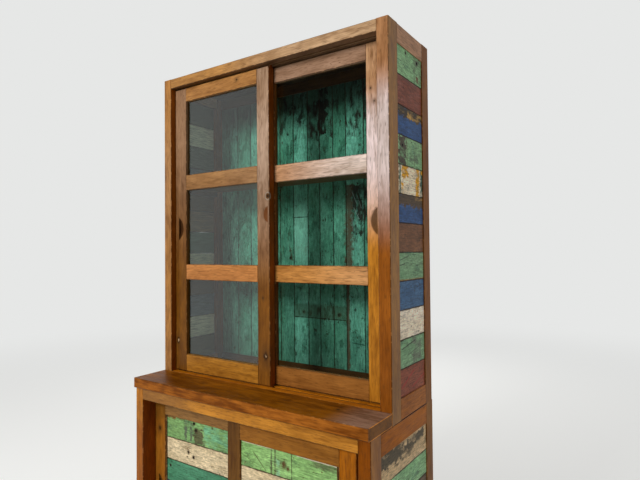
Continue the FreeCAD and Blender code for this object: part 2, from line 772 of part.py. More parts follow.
def build_counter():
    zs = ("lower_height", "(lower_height + counter_thickness)")
    xs = (f"-{half_width}", half_width)
    seam = f"({upper_front} - counter_rear_board)"
    wide = "(ledge_depth + counter_overhang - counter_rear_board - board_gap)"
    corners = (("0", "0"), (wide, "0"), (wide, "counter_thickness"), ("0", "counter_thickness"))
    front_board = prism("counter_front_board", "X", corners, "case_width", xs[0], counter_front, zs[0])
    rear_board = stick("counter_rear_strip", xs, (seam, upper_front), zs, "X", "board_gap")
    doc.recompute()
    # the hand meets the front board's nose and ends, so these edges are rounded
    pad = front_board.Tip
    box = pad.Shape.BoundBox
    slack = sheet.board_gap / 2
    nose = edges_at(pad.Shape, FreeCAD.Vector(box.XMin - slack, box.YMin - slack, box.ZMin - slack),
                    FreeCAD.Vector(box.XMax + slack, box.YMin + slack, box.ZMax + slack))
    rounding = front_board.newObject("PartDesign::Fillet", "counter_nose_round")
    rounding.Base = (pad, nose)
    bind(rounding, "Radius", "counter_round")
    front_board.Tip = rounding
    keep("counter_slab", front_board, rear_board)


build_case(lower_case)
build_case(upper_case)
build_counter()
build_shelves()
build_upper_doors()
build_lower_doors()
doc.recompute()

# Tests before anything is written

faults = []
for item in doc.Objects:
    if "Invalid" in item.State or "Error" in item.State:
        faults.append(f"{item.Name} is {item.State}")
for node in nodes:
    if node.Shape.isNull() or not node.Shape.isValid() or not node.Shape.Solids:
        faults.append(f"{node.Label} has no valid solid")
if faults:
    raise RuntimeError("; ".join(faults))

os.makedirs("parts", exist_ok=True)
for node in nodes:
    node.Shape.exportStep(os.path.join("parts", node.Label + ".step"))
    print(f"{node.Label}: {len(node.Shape.Solids)} solids, {node.Shape.Volume / 1000:.1f} cm3")
print(len(nodes), "nodes")
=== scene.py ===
import math
from functools import partial

import bpy
from mathutils import Euler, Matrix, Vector


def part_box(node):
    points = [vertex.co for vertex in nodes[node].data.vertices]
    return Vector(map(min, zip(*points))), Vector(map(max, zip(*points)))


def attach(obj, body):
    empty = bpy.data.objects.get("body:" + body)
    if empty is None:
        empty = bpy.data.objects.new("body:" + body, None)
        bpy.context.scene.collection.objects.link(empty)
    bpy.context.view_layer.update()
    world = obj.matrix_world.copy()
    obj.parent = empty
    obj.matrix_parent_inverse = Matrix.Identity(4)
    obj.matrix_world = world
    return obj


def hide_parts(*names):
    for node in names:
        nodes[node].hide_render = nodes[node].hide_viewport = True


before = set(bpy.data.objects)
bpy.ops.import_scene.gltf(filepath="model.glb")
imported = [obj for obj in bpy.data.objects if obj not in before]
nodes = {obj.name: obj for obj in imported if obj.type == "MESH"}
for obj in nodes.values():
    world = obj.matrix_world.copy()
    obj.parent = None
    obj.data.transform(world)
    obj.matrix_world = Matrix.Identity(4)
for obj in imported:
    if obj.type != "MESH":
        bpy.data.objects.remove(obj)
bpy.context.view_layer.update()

# The looks of an old kitchen cabinet: oiled hardwood frames, and panels of reclaimed boards
# that still carry their worn paint. The camera and the studio are in metres, in the frame of
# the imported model, and the dictionaries of the cabinet's own finishes are in millimetres.

mm = 0.001
axes = "XYZ"
print("frame loaded:", len(nodes), "nodes")


def colour(hexCode):
    # sRGB hex to the linear colour that a shader reads
    parts = [int(hexCode[start:start + 2], 16) / 255 for start in (0, 2, 4)]
    linear = [part / 12.92 if part <= 0.04045 else ((part + 0.055) / 1.055) ** 2.4 for part in parts]
    return linear + [1.0]


def addNode(material, kind, *values, sockets=None, **settings):
    # values fill the node's inputs in order, passing over those that its settings switch off,
    # and sockets fills inputs by name; a node given as a value feeds its first working output
    node = material.node_tree.nodes.new("ShaderNode" + kind)
    for name, value in settings.items():
        setattr(node, name, value)
    given = list(zip([socket for socket in node.inputs if socket.enabled], values))
    given += [(node.inputs[name], value) for name, value in (sockets or {}).items()]
    for socket, value in given:
        if isinstance(value, bpy.types.Node):
            value = next(output for output in value.outputs if output.enabled)
        if isinstance(value, bpy.types.NodeSocket):
            material.node_tree.links.new(value, socket)
        else:
            socket.default_value = value
    return node


def newMaterial(name):
    material = bpy.data.materials.new(name)
    material.use_nodes = True
    material.node_tree.nodes.clear()
    return material


# Camera: the place and angles that the photograph's edges give

camera = {
    "place": (1.0204, -1.2559, 1.1800),
    "turn": (91.157, 0.481, 33.866),     # degrees: tilt, roll, heading
    "lens": 27.92,
    "sensor": 36.0,
}

cameraData = bpy.data.cameras.new("viewpoint")
cameraData.lens = camera["lens"]
cameraData.sensor_width = camera["sensor"]
cameraData.clip_start = 0.01
viewpoint = bpy.data.objects.new("viewpoint", cameraData)
viewpoint.location = camera["place"]
viewpoint.rotation_euler = Euler([math.radians(angle) for angle in camera["turn"]])
bpy.context.collection.objects.link(viewpoint)
bpy.context.scene.camera = viewpoint

# Studio: a pale floor that fades into a pale surround, a soft lamp in front and a weaker one
# behind. What mirrors the front of the room finds it unlit there, so the panes look deep.

studio = {
    "floorSize": 60.0,
    "floorColour": "e4e4e1",
    "floorRoughness": 0.9,
    "floorGloss": 0.1,
    "floorGlow": 0.34,
    "fadeFrom": 1.6,
    "fadeTo": 7.0,
    "surroundColour": "e6e7e6",
    "ambient": 0.42,
    "frontColour": "2c2a28",
    "frontAside": (-0.66, -0.63),    # x of a level direction: where the unlit front starts, and is whole
    "frontAhead": (-0.25, -0.05),    # its y: where the front is still whole, and where it has ended
    "lamps": (("front_softbox", (-0.68, -3.4, 2.6), 1.2, 90.0),      # place, size and power
              ("rear_softbox", (-1.6, 3.8, 2.8), 1.8, 45.0)),
    "lampAim": (0.0, 0.0, 1.2),
}

bpy.context.scene.view_settings.view_transform = "Standard"


def addFrontMask(add, way):
    # 1 for mirrored rays to the unlit front of the room, 0 for all others
    level = add("VectorMath", way, (1.0, 1.0, 0.0), operation="MULTIPLY")
    level = add("SeparateXYZ", add("VectorMath", level, operation="NORMALIZE")).outputs
    aside = add("MapRange", level["X"], *studio["frontAside"], 0.0, 1.0, interpolation_type="SMOOTHSTEP")
    ahead = add("MapRange", level["Y"], *studio["frontAhead"], 1.0, 0.0)
    front = add("Math", aside, ahead, operation="MULTIPLY")
    return add("Math", front, add("LightPath").outputs["Is Glossy Ray"], operation="MULTIPLY")


def addSeen(add):
    # 1 for the rays that show the surround: the camera's own, and those through glass or off gloss
    rays = add("LightPath").outputs
    seen = add("Math", rays["Is Camera Ray"], rays["Is Transmission Ray"], operation="MAXIMUM")
    return add("Math", seen, rays["Is Glossy Ray"], operation="MAXIMUM")


def makeFloor():
    bpy.ops.object.select_all(action="DESELECT")
    bpy.ops.mesh.primitive_plane_add(size=studio["floorSize"], location=(0, 0, 0))
    floor = bpy.context.object
    floor.name = "studio_floor"
    paint = newMaterial("matt painted studio floor")
    add = partial(addNode, paint)
    surround = colour(studio["surroundColour"])
    place = add("TexCoord").outputs["Object"]
    reach = add("VectorMath", place, operation="LENGTH")
    fade = add("MapRange", reach, studio["fadeFrom"], studio["fadeTo"], 0.0, 1.0,
               interpolation_type="SMOOTHSTEP")
    matt = add("BsdfPrincipled", sockets={"Base Color": colour(studio["floorColour"]),
                                          "Roughness": studio["floorRoughness"],
                                          "Specular IOR Level": studio["floorGloss"]})
    near = add("AddShader", matt, add("Emission", surround, studio["floorGlow"]))
    shown = add("MixShader", fade, near, add("Emission", surround, 1.0))
    shader = add("MixShader", addSeen(add), matt, shown)
    unlit = add("Emission", colour(studio["frontColour"]), 1.0)
    add("OutputMaterial", add("MixShader", addFrontMask(add, place), shader, unlit))
    floor.data.materials.append(paint)


def makeLamps():
    for name, place, size, power in studio["lamps"]:
        light = bpy.data.lights.new(name, "AREA")
        light.shape = "SQUARE"
        light.size = size
        light.energy = power
        lamp = bpy.data.objects.new(name, light)
        lamp.location = place
        lamp.visible_glossy = False          # the panes would mirror it as a hard white square, the
        lamp.visible_transmission = False    # front face by glossy rays, the rear by transmitted ones
        aim = Vector(studio["lampAim"]) - lamp.location
        lamp.rotation_euler = aim.to_track_quat("-Z", "Y").to_euler()
        bpy.context.collection.objects.link(lamp)


def makeSurround():
    world = bpy.context.scene.world or bpy.data.worlds.new("studio")
    bpy.context.scene.world = world
    world.use_nodes = True
    world.node_tree.nodes.clear()
    add = partial(addNode, world)
    ambient = add("Background", colour("ffffff"), studio["ambient"])
    pale = add("Background", colour(studio["surroundColour"]), 1.0)
    unlit = add("Background", colour(studio["frontColour"]), 1.0)
    sky = add("MixShader", addSeen(add), ambient, pale)
    front = addFrontMask(add, add("TexCoord").outputs["Generated"])
    add("OutputWorld", add("MixShader", front, sky, unlit))


makeFloor()
makeLamps()
makeSurround()
print("studio ready")

fineShare = 0.6              # how strong each finer octave of a noise is, beside the one before


def addLayers(add, place, grain, layers):
    # noise layers of a surface: each is (width in mm, times longer along the grain, detail)
    made = {}
    for name, (width, stretch, detail) in layers.items():
        cells = [1 / (width * mm * (stretch if axis == grain else 1.0)) for axis in axes]
        scaled = add("VectorMath", place, cells, operation="MULTIPLY")
        made[name] = add("TexNoise", scaled, 1.0, detail, fineShare)
    return made


# Wood of the frames: oiled reclaimed teak, sawn and planed. Uneven warm tone in blotches and
# streaks, faint flat-sawn growth lines, short dark pores, rubbed edges and a satin sheen.
# Four numbers together are where a noise layer starts and ends to show, and what it gives there.

# Some of this colour is painted light: pale rubbed edges are partly a painted highlight, dark edges partly
# painted shade, and hollows hold painted shade besides dirt.
woodGrain = {
    "layers": {
        "band": (75.0, 5.0, 2.0),
        "blotch": (24.0, 3.0, 3.0),
        "streak": (8.0, 14.0, 3.0),
        "fibre": (3.4, 20.0, 2.0),
        "pore": (1.8, 11.0, 0.0),        # coarser than the real 0.3 mm, so that it shows
        "dent": (9.0, 1.5, 2.0),
    },
    "shares": {"band": 0.5, "blotch": 0.44, "streak": 0.3, "fibre": 0.28},
    "ringCount": 13.0,
    "ringShare": 0.03,
    "spread": 0.2,           # how far the layers' sum strays to either side
    "darker": (0.58, 0.51, 0.42),
    "lighter": (1.42, 1.48, 1.52),
    "pores": (0.6, 0.72, 0.0, 0.4),
    "poreShade": "4a2c14",
    "dents": (0.7, 0.76, 0.0, 0.5),
    "dentShade": "3c220f",
    "edgeDepth": (0.8, 2.6),     # an edge is worn down to the first, and not past the second
    "edgeRubbedAndHighlit": (0.54, 0.64, 0.0, 1.0),
    "edgeCovers": (0.75, 0.3),   # how much shows of its dirt and painted shade, and of its paler wood and painted highlight where it is rubbed
    "edgeShades": ("3a200e", "b98d5c"),
    "hollowDepth": (1.0, 2.2),
    "hollowDark": 0.82,      # how dark the scoops, grooves and rebates are painted: dirt and painted shade
    "hollowDirtAndPaintedLight": "51361b",
    "roughness": (0.3, 0.7, 0.28, 0.44),
    "relief": 0.25,
    "reliefStrength": 0.5,
    "gloss": 0.14,
    "dryGloss": 0.05,        # the sides, the rear posts and the counter have dried out
    "shiftStart": (0.11, 0.07, 0.13),
    "shiftStep": (0.37, 0.53, 0.71),     # from piece to piece, so that no two match
}

middleShade = {              # each piece's own shade, and below them the kinds that share one
    "upper_head_rail": "a4743e",
    "upper_front_left_post": "a06d37",
    "upper_front_right_post": "8a4c12",
    "upper_rear_left_post": "8a5420",
    "upper_rear_right_post": "8a5420",
    "upper_sill": "b86c10",
    "upper_left_door_outer_stile": "744814",
    "upper_left_door_meeting_stile": "794a16",
    "upper_left_door_top_rail": "a4723e",
    "upper_left_door_upper_mid_rail": "966c42",
    "upper_left_door_lower_mid_rail": "bc7c44",
    "upper_left_door_bottom_rail": "b07628",
    "upper_right_door_outer_stile": "ba7822",
    "upper_right_door_meeting_stile": "734218",
    "upper_right_door_top_rail": "96745c",
    "upper_right_door_upper_mid_rail": "b4845e",
    "upper_right_door_lower_mid_rail": "bc8040",
    "upper_right_door_bottom_rail": "96602a",
    "upper_right_side_rails": "ae6828",
    "upper_left_side_rails": "ae6828",
    # the back rails and the top boards are dark with painted shade, as inside the cabinet
    "upper_back_rails": "4c3018",
    "upper_top_boards": "3a281a",
    "counter_slab": "864d0a",
    "lower_head_rail": "b27426",
    "lower_front_left_post": "925008",
    "lower_front_right_post": "783c00",
    "lower_left_door_outer_stile": "915918",
    "lower_left_door_meeting_stile": "6e4a20",
    "lower_right_door_meeting_stile": "674216",
    "lower_right_door_outer_stile": "9f5a06",
    "lower_left_door_top_rail": "8c6434",
    "lower_right_door_top_rail": "87551c",
    "lower_right_side_rails": "a35b0e",
    "lower_left_side_rails": "a35b0e",
    "shelf": "8c6238",
    "beads": "6b4220",
    "upper": "a06c38",
    "lower": "8c5a24",
}

# Changes of shade along an axis: (axis, from, full, amount, shade), where the change goes on past full, or
# (axis, from, full, until, gone, amount, shade). Those a millimetre or less deep colour one face of a piece.
# Many are painted light, as marked: a painted sheen, painted highlights, and painted shade on faces out of
# the light.
changesOfPiece = {
    # a painted sheen towards the right end; the underside's last millimetre is painted shade
    "upper_head_rail": (("X", -200, 160, 0.5, "cdb092"), ("Z", 1767.4, 1766.4, 0.75, "3c2210")),
    # a painted highlight and, above it, a paler painted sheen; the outer side face has its own shade
    "upper_front_right_post": (("Z", 1160, 1440, 1540, 1700, 0.68, "e0d4d2"),
                               ("Z", 1560, 1720, 0.45, "b8906a"), ("X", 449.0, 449.7, 1.0, "9a682c")),
    # a faint painted sheen; the inner face beside the door is painted shade
    "upper_front_left_post": (("Z", 1100, 1400, 1500, 1700, 0.15, "c8a888"),
                              ("X", -449.0, -449.7, 1.0, "a16e36"), ("X", -414.9, -414.3, 1.0, "84440a")),
    # a painted sheen towards the top
    "upper_left_door_outer_stile": (("Z", 1050, 1600, 0.22, "c4aa96"),),
    # a painted sheen high up; the side face beside the right-hand door is painted shade
    "upper_left_door_meeting_stile": (("Z", 1020, 1500, 0.6, "c6ac98"), ("Z", 1560, 1700, 0.3, "a07850"),
                                      ("X", 24.0, 24.8, 1.0, "80400c")),
    # a faint painted sheen
    "upper_left_door_upper_mid_rail": (("X", -240, -60, 0.08, "c4aa96"),),
    # painted highlights and painted sheen on the right-hand door's stile and mid rails
    "upper_right_door_outer_stile": (("Z", 1170, 1440, 1540, 1680, 0.72, "e6dce0"),
                                     ("Z", 1560, 1700, 0.5, "c6aa92")),
    "upper_right_door_upper_mid_rail": (("X", 20, 330, 0.62, "e6dcd6"),),
    "upper_right_door_lower_mid_rail": (("X", 100, 350, 0.12, "d8c4b0"),),
    "upper_right_side_rails": (("Z", 800, 1740, 0.4, "c8b09c"),),
    "upper_left_side_rails": (("Z", 800, 1740, 0.4, "c8b09c"),),
    # the back rails' rear face, outside the cabinet, keeps the wood's own shade instead of the painted shade
    "upper_back_rails": (("Y", 185, 195, 1.0, "8a5420"),),
    "lower_head_rail": (("X", -100, -290, 1.0, "8e5e28"),),
    # the inner face beside the door is painted shade; the outer side face has its own shade
    "lower_front_left_post": (("Z", 580, 625, 1.0, "ae6c1c"), ("X", -449.0, -449.7, 1.0, "9c6322"),
                              ("X", -414.9, -414.3, 1.0, "803a06")),
    "lower_front_right_post": (("X", 449.0, 449.7, 1.0, "9c6322"),),
    "lower_left_door_outer_stile": (("Z", 590, 630, 0.9, "764b16"),),
    # a painted shadow along the top of the lower side rails, under the upper case
    "lower_right_side_rails": (("Z", 716, 719, 0.85, "2a1208"),),
    "lower_left_side_rails": (("Z", 716, 719, 0.85, "2a1208"),),
    # a painted sheen near the right end, and both end faces painted lighter: painted light where the lamp
    # hardly reaches them
    "counter_slab": (("X", -220, 20, 0.7, "784406"), ("X", 300, 400, 0.24, "a09a98"),
                     ("Y", -203.5, -204.7, 1.0, "905218"), ("X", 449.0, 449.7, 1.0, "dc8a34"),
                     ("X", -449.0, -449.7, 1.0, "dc8a34")),
}

contrastOfPiece = {"counter_slab": 1.9, "upper_sill": 1.3}      # how much stronger the figure is

hollowOfPiece = {            # painted light in a piece's hollows, where it isn't the usual dirt and painted shade: the meeting stile's finger pull is painted as a warm lit wall, the outer stile's as deep shade
    "upper_left_door_meeting_stile": "6c380c",
    "upper_left_door_outer_stile": "2c1408",
}

grainOfPiece = (("post", "Z"), ("stile", "Z"), ("side_rails", "Y"), ("cleats", "Y"), ("rail", "X"),
                ("sill", "X"), ("shelf", "X"), ("slab", "X"), ("beads", "X"), ("boards", "X"))

knotsOfPiece = {             # x, y, z, radius, times longer along the grain, and kind
    "upper_left_door_top_rail": ((-111, -56, 1744, 4.0, 1.3, "dark"),),
    "upper_left_door_meeting_stile": ((19, -56, 1351, 5.5, 1.3, "ringed"), (-3, -56, 1030, 3.0, 1.3, "dark"),
                                      (8, -56, 848, 12.0, 1.4, "pale")),
    "upper_left_door_outer_stile": ((-399, -56, 863, 8.5, 1.9, "pale"),),
    "upper_right_door_outer_stile": ((382, -28, 1595, 3.0, 1.3, "dark"), (371, -28, 1633, 2.5, 1.3, "dark")),
    "upper_right_door_lower_mid_rail": ((345, -27.5, 1119, 1.3, 12.0, "dark"),),
    "lower_left_door_outer_stile": ((-388, -146, 577, 7.0, 1.3, "dark"),),
    "counter_slab": ((313, -120, 753, 5.0, 1.3, "dark"), (309, -100, 753, 3.0, 1.3, "dark")),
}

knotLook = {                 # in shares of a knot's radius
    "wander": 1.2,           # how uneven its outline is
    "halo": (1.4, 3.6),
    "haloCover": 0.7,
    "haloShade": "4a3018",
}

knotRings = {                # from the outside in: start, end, cover and shade
    "dark": ((0.9, 1.6, 0.95, "20140a"),),
    "ringed": ((2.3, 2.7, 0.75, "9a9284"), (1.8, 2.1, 1.0, "6a431f"), (0.9, 1.6, 0.95, "20140a")),
    "pale": ((0.9, 1.6, 0.95, "20140a"), (0.75, 0.95, 0.8, "c8a47c")),
}


def addChanges(add, shade, parts, changes):
    # changes of shade along the axes, whose places are in parts
    for axis, start, full, *end, most, newShade in changes:
        change = add("MapRange", parts[axis], start * mm, full * mm, 0.0, most,
                     interpolation_type="SMOOTHSTEP")
        if end:
            left = add("MapRange", parts[axis], end[0] * mm, end[1] * mm, 1.0, 0.0,
                       interpolation_type="SMOOTHSTEP")
            change = add("Math", change, left, operation="MULTIPLY")
        shade = add("Mix", change, shade, colour(newShade), data_type="RGBA")
    return shade


def addKnots(add, shade, place, dent, grain, knots):
    # a knot: a dark heart with a ring of darker wood, longer along the grain; a crack is a long one
    for x, y, z, radius, longer, kind in knots:
        away = add("VectorMath", place, (x * mm, y * mm, z * mm), operation="SUBTRACT")
        reach = [1 / (radius * mm * (longer if axis == grain else 1.0)) for axis in axes]
        away = add("VectorMath", away, reach, operation="MULTIPLY")
        distance = add("VectorMath", away, operation="LENGTH")
        distance = add("Math", dent, knotLook["wander"], distance, operation="MULTIPLY_ADD")
        halo = add("MapRange", distance, *knotLook["halo"], knotLook["haloCover"] / longer, 0.0)
        shade = add("Mix", halo, shade, colour(knotLook["haloShade"]), data_type="RGBA")
        for start, end, cover, hexCode in knotRings[kind]:
            ring = add("MapRange", distance, start, end, cover, 0.0)
            shade = add("Mix", ring, shade, colour(hexCode), data_type="RGBA")
    return shade


def addWearDirtAndPaintedLight(add, shade, place, dent, grain, low, high, hollowDirtAndPaintedLight):
    # the long edges are dark with dirt, and painted shade at the joints, in places, and rubbed pale with a
    # painted highlight in others, and all that is cut into the piece is painted dark with dirt and painted
    # shade: both follow from how deep a point is within its section
    centre = [(low[i] + high[i]) / 2 for i in range(3)]
    half = [(high[i] - low[i]) / 2 for i in range(3)]
    edgeFrom, edgeTo = [depth * mm for depth in woodGrain["edgeDepth"]]
    hollowFrom, hollowTo = [depth * mm for depth in woodGrain["hollowDepth"]]
    dirtAndShade, bare = [colour(hexCode) for hexCode in woodGrain["edgeShades"]]
    off = add("VectorMath", place, centre, operation="SUBTRACT")
    off = add("VectorMath", off, operation="ABSOLUTE")
    depths = add("SeparateXYZ", add("VectorMath", half, off, operation="SUBTRACT")).outputs
    first, second = [depths[number] for number, axis in enumerate(axes) if axis != grain]
    deepest = add("Math", first, second, operation="MAXIMUM")
    shallow = add("Math", first, second, operation="MINIMUM")
    near = add("MapRange", deepest, edgeFrom, edgeTo, 1.0, 0.0)
    rubbed = add("MapRange", dent, *woodGrain["edgeRubbedAndHighlit"])
    rim = add("Mix", rubbed, dirtAndShade, bare, data_type="RGBA")
    cover = add("MapRange", rubbed, 0.0, 1.0, *woodGrain["edgeCovers"])
    near = add("Math", near, cover, operation="MULTIPLY")
    shade = add("Mix", near, shade, rim, data_type="RGBA")
    hollow = add("MapRange", shallow, hollowFrom, hollowTo, 0.0, woodGrain["hollowDark"])
    return add("Mix", hollow, shade, colour(hollowDirtAndPaintedLight), data_type="RGBA")


def addFigure(add, layers, contrast):
    # how much lighter or darker the grain makes each place
    ring = add("Math", layers["band"], woodGrain["ringCount"] * math.tau, operation="MULTIPLY")
    ring = add("Math", ring, operation="SINE")
    total = add("Math", ring, woodGrain["ringShare"], operation="MULTIPLY")
    for layer, share in woodGrain["shares"].items():
        total = add("Math", layers[layer], share, total, operation="MULTIPLY_ADD")
    middleSum = sum(woodGrain["shares"].values()) / 2
    spread = woodGrain["spread"] / contrast
    tint = add("MapRange", total, middleSum - spread, middleSum + spread, 0.0, 1.0)
    return add("Mix", tint, (*woodGrain["darker"], 1.0), (*woodGrain["lighter"], 1.0), data_type="RGBA")


def makeWood(name, grain, middle, shift, low, high, knots=(), changes=(), gloss=woodGrain["dryGloss"],
             contrast=1.0, hollowDirtAndPaintedLight=woodGrain["hollowDirtAndPaintedLight"]):
    # grain is the axis that the fibres follow, shift moves the pattern, low and high are the
    # piece's corners
    wood = newMaterial(name)
    add = partial(addNode, wood)
    place = add("TexCoord").outputs["Object"]
    moved = add("VectorMath", place, shift, operation="ADD")
    layers = addLayers(add, moved, grain, woodGrain["layers"])
    shade = add("RGB").outputs[0]
    shade.default_value = colour(middle)
    shade = addChanges(add, shade, add("SeparateXYZ", place).outputs, changes)
    shade = add("VectorMath", shade, addFigure(add, layers, contrast), operation="MULTIPLY")
    pore = add("MapRange", layers["pore"], *woodGrain["pores"])
    shade = add("Mix", pore, shade, colour(woodGrain["poreShade"]), data_type="RGBA")
    dented = add("MapRange", layers["dent"], *woodGrain["dents"])
    shade = add("Mix", dented, shade, colour(woodGrain["dentShade"]), data_type="RGBA")
    shade = addKnots(add, shade, place, layers["dent"], grain, knots)
    shade = addWearDirtAndPaintedLight(add, shade, place, layers["dent"], grain, low, high, hollowDirtAndPaintedLight)
    rough = add("MapRange", layers["streak"], *woodGrain["roughness"])
    height = add("Math", layers["fibre"], pore, operation="SUBTRACT")
    height = add("Math", height, dented, operation="SUBTRACT")
    bump = add("Bump", woodGrain["reliefStrength"], woodGrain["relief"] * mm, sockets={"Height": height})
    shader = add("BsdfPrincipled", sockets={"Base Color": shade, "Roughness": rough, "Normal": bump,
                                            "Specular IOR Level": gloss})
    add("OutputMaterial", shader)
    return wood


# Panes: clear float glass. It is perfectly smooth, so its reflections are sharp, and it has a
# faint green body; lamps shine through it.

paneGlass = {"tint": "eef6f2", "roughness": 0.0, "refraction": 1.5}


def makeGlass():
    glass = newMaterial("clear window glass")
    add = partial(addNode, glass)
    tint = colour(paneGlass["tint"])
    solid = add("BsdfPrincipled", sockets={"Base Color": tint, "Roughness": paneGlass["roughness"],
                                           "IOR": paneGlass["refraction"], "Transmission Weight": 1.0})
    clear = add("BsdfTransparent", tint)
    rays = add("LightPath").outputs
    passed = add("Math", rays["Is Shadow Ray"], rays["Is Diffuse Ray"], operation="MAXIMUM")
    add("OutputMaterial", add("MixShader", passed, solid, clear))
    return glass


def dressFrame():
    glass = makeGlass()
    for number, (name, piece) in enumerate(sorted(nodes.items())):
        piece.data.materials.clear()
        if name.endswith("_panes"):
            piece.data.materials.append(glass)
            continue
        grain = next(axis for word, axis in grainOfPiece if word in name)
        kind = name if name in middleShade else next(word for word in middleShade if word in name)
        shift = [step * number + start
                 for step, start in zip(woodGrain["shiftStep"], woodGrain["shiftStart"])]
        low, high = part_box(name)
        dry = any(word in name for word in ("side", "rear", "slab"))
        wood = makeWood(f"oiled teak, {name}", grain, middleShade[kind], shift, low, high,
                        knotsOfPiece.get(name, ()), changesOfPiece.get(name, ()),
                        woodGrain["dryGloss" if dry else "gloss"], contrastOfPiece.get(name, 1.0),
                        hollowOfPiece.get(name, woodGrain["hollowDirtAndPaintedLight"]))
        piece.data.materials.append(wood)


dressFrame()
print("frame dressed")

# Old paint on reclaimed boards: brushed coats that have faded, chipped along the grain down to
# older coats and bare wood, with dirt in the joints and nail holes rusted at their rims. Where
# paint is lost starts lower in its noise layer the more a board is worn.

paintWear = {
    "layers": {
        "fade": (55.0, 2.4, 3.0),
        "under": (30.0, 2.2, 4.0),
        "chip": (15.0, 2.4, 5.0),
        "mottle": (7.0, 1.5, 3.0),
        "brush": (2.6, 13.0, 3.0),
        "fleck": (5.5, 1.7, 2.0),
        "rim": (12.0, 1.2, 4.0),
        "crack": (1.7, 24.0, 1.0),       # coarser than the real hair cracks, so that it shows
        "smear": (20.0, 2.6, 5.0),
    },
    "noiseMiddle": 0.5,
    "fading": (0.35, 0.65, 0.0, 1.0),
    "olderReach": 0.16,      # how far from the middle of its layer the coat below starts to show
    "olderFade": 0.06,
    "olderCover": 0.7,
    "chipReach": 0.24,
    "chipFade": 0.03,
    "chipCover": 0.9,
    "fleckReach": 0.2,
    "fleckWear": 0.8,        # how much wear adds to the flecks
    "fleckCrowd": 0.5,       # how much they keep to where the coat below shows
    "fleckFade": 0.05,
    "fleckCover": 0.75,
    "timberTint": (0.3, 0.7, 0.6, 1.35),
    "tints": {               # from, to, and how much lighter or darker it gets there
        "mottle": (0.3, 0.7, 0.24),
        "brush": (0.3, 0.7, 0.36),
        "smear": (0.35, 0.65, 0.14),
    },
    "cracks": (0.64, 0.7, 0.0, 0.6),
    "crackShade": "2c2116",
    "timber": "8d6f50",      # the sawn back of a board that was painted on one face only
    "sawnFrom": 0.55,        # of the thickness: there the paint's side ends
    "sawnFull": 0.75,
    "jointDirt": (2.4, 0.8),     # the dark rim along a joint: where it starts, and is darkest
    "jointWander": 5.0,
    "jointCover": 0.85,
    "jointShade": "35200f",
    "roughness": (0.5, 0.78),    # of whole paint, and where it is worn off
    "gloss": 0.16,
    "relief": 0.5,
    "reliefStrength": 0.6,
    "brushRelief": 0.5,
}

patchWear = {
    "wander": 60.0,          # how far a patch's edge strays, at most
    "wanderShare": 1.3,      # and at most as a share of its smaller side
    "edge": (-4.0, 1.5),     # from inside the edge to outside it
    "gaps": 0.42,            # what is missing of a patch that covers half
    "gapsPerCover": 0.4,
    "gapFade": 0.15,
}

strokeLine = {"wander": 1.6, "core": 0.3, "side": 0.7, "cover": 0.85, "endFade": 3.0}

stainLooks = {               # from the rim in: start and end in radii, cover and shade
    "holes": ((1.0, 2.4, 0.75, "4c3a26"), (0.8, 1.25, 1.0, "17100a")),   # rust and dirt round a nail hole, and painted shade in its pit
    "knots": ((1.0, 2.4, 0.6, "5c5a34"), (0.8, 1.25, 0.9, "5a3a20")),    # a bare knot
}
stainWander = 3.0

boardLooks = {               # coat, faded coat, coat below, bare wood, wear from 0 to 1
    "mint": ("84af67", "92bb74", "6a905a", "5a4a2e", 0.24),
    "leftMint": ("76a062", "86ac6a", "62865a", "54482c", 0.26),
    "green": ("8bbb84", "99c490", "6d9a78", "5a4a34", 0.26),
    "mutedGreen": ("7ca579", "8aae84", "628a6a", "544732", 0.22),
    "maroon": ("7e3f2a", "8a4832", "6a3424", "5c4030", 0.08),
    "blue": ("284b7c", "3a5e92", "22406c", "4b4438", 0.14),
    "slate": ("3c5f84", "4c7094", "315070", "4c4338", 0.14),
    "cream": ("cfba92", "dac6a0", "b8a27a", "6d5a41", 0.10),
    "chalk": ("fae8c8", "fff0da", "dcc8a4", "7a5a34", 0.12),
    "ivory": ("fae6c2", "fff0d2", "dcc298", "7a5a34", 0.26),
    "brown": ("764b2c", "845838", "643e24", "4c3526", 0.08),
    "bark": ("5f5140", "6f5f4a", "4e4335", "3c3128", 0.24),
    "red": ("86432a", "944e34", "74402c", "5e4433", 0.20),
    "teal": ("417d5b", "508c6a", "346e4e", "3c4438", 0.20),
    "worn": ("d0b082", "dcbe92", "a88a60", "4f4636", 0.22),
    "jade": ("66ac96", "80c6b2", "4c8a76", "38382c", 0.34),
    "fern": ("52947c", "6aac96", "3e7460", "3a3428", 0.38),
}


def addPatch(add, shade, place, layers, across, patch):
    # another coat or bare wood between two sides and two heights, with a ragged rim; across is
    # the level axis along the board's face, cover is how much of the patch it hides
    start, stop, bottom, top, hexCode, cover = patch
    centre = [0.0, 0.0, (bottom + top) / 2 * mm]
    centre[across] = (start + stop) / 2 * mm
    half = [0.0, 0.0, (top - bottom) / 2 * mm]
    half[across] = (stop - start) / 2 * mm
    edgeFrom, edgeTo = [edge * mm for edge in patchWear["edge"]]
    off = add("VectorMath", place, centre, operation="SUBTRACT")
    off = add("VectorMath", off, operation="ABSOLUTE")
    off = add("SeparateXYZ", add("VectorMath", off, half, operation="SUBTRACT")).outputs
    outside = add("Math", off[across], off["Z"], operation="MAXIMUM")
    wander = min(patchWear["wander"], patchWear["wanderShare"] * min(stop - start, top - bottom))
    outside = add("Math", layers["stray"], wander * mm, outside, operation="MULTIPLY_ADD")
    within = add("MapRange", outside, edgeFrom, edgeTo, 1.0, 0.0, interpolation_type="SMOOTHSTEP")
    gaps = patchWear["gaps"] + patchWear["gapsPerCover"] * (0.5 - cover)
    spread = add("MapRange", layers["smear"], gaps, gaps + patchWear["gapFade"], 0.0, 1.0)
    within = add("Math", within, spread, operation="MULTIPLY")
    return add("Mix", within, shade, colour(hexCode), data_type="RGBA")


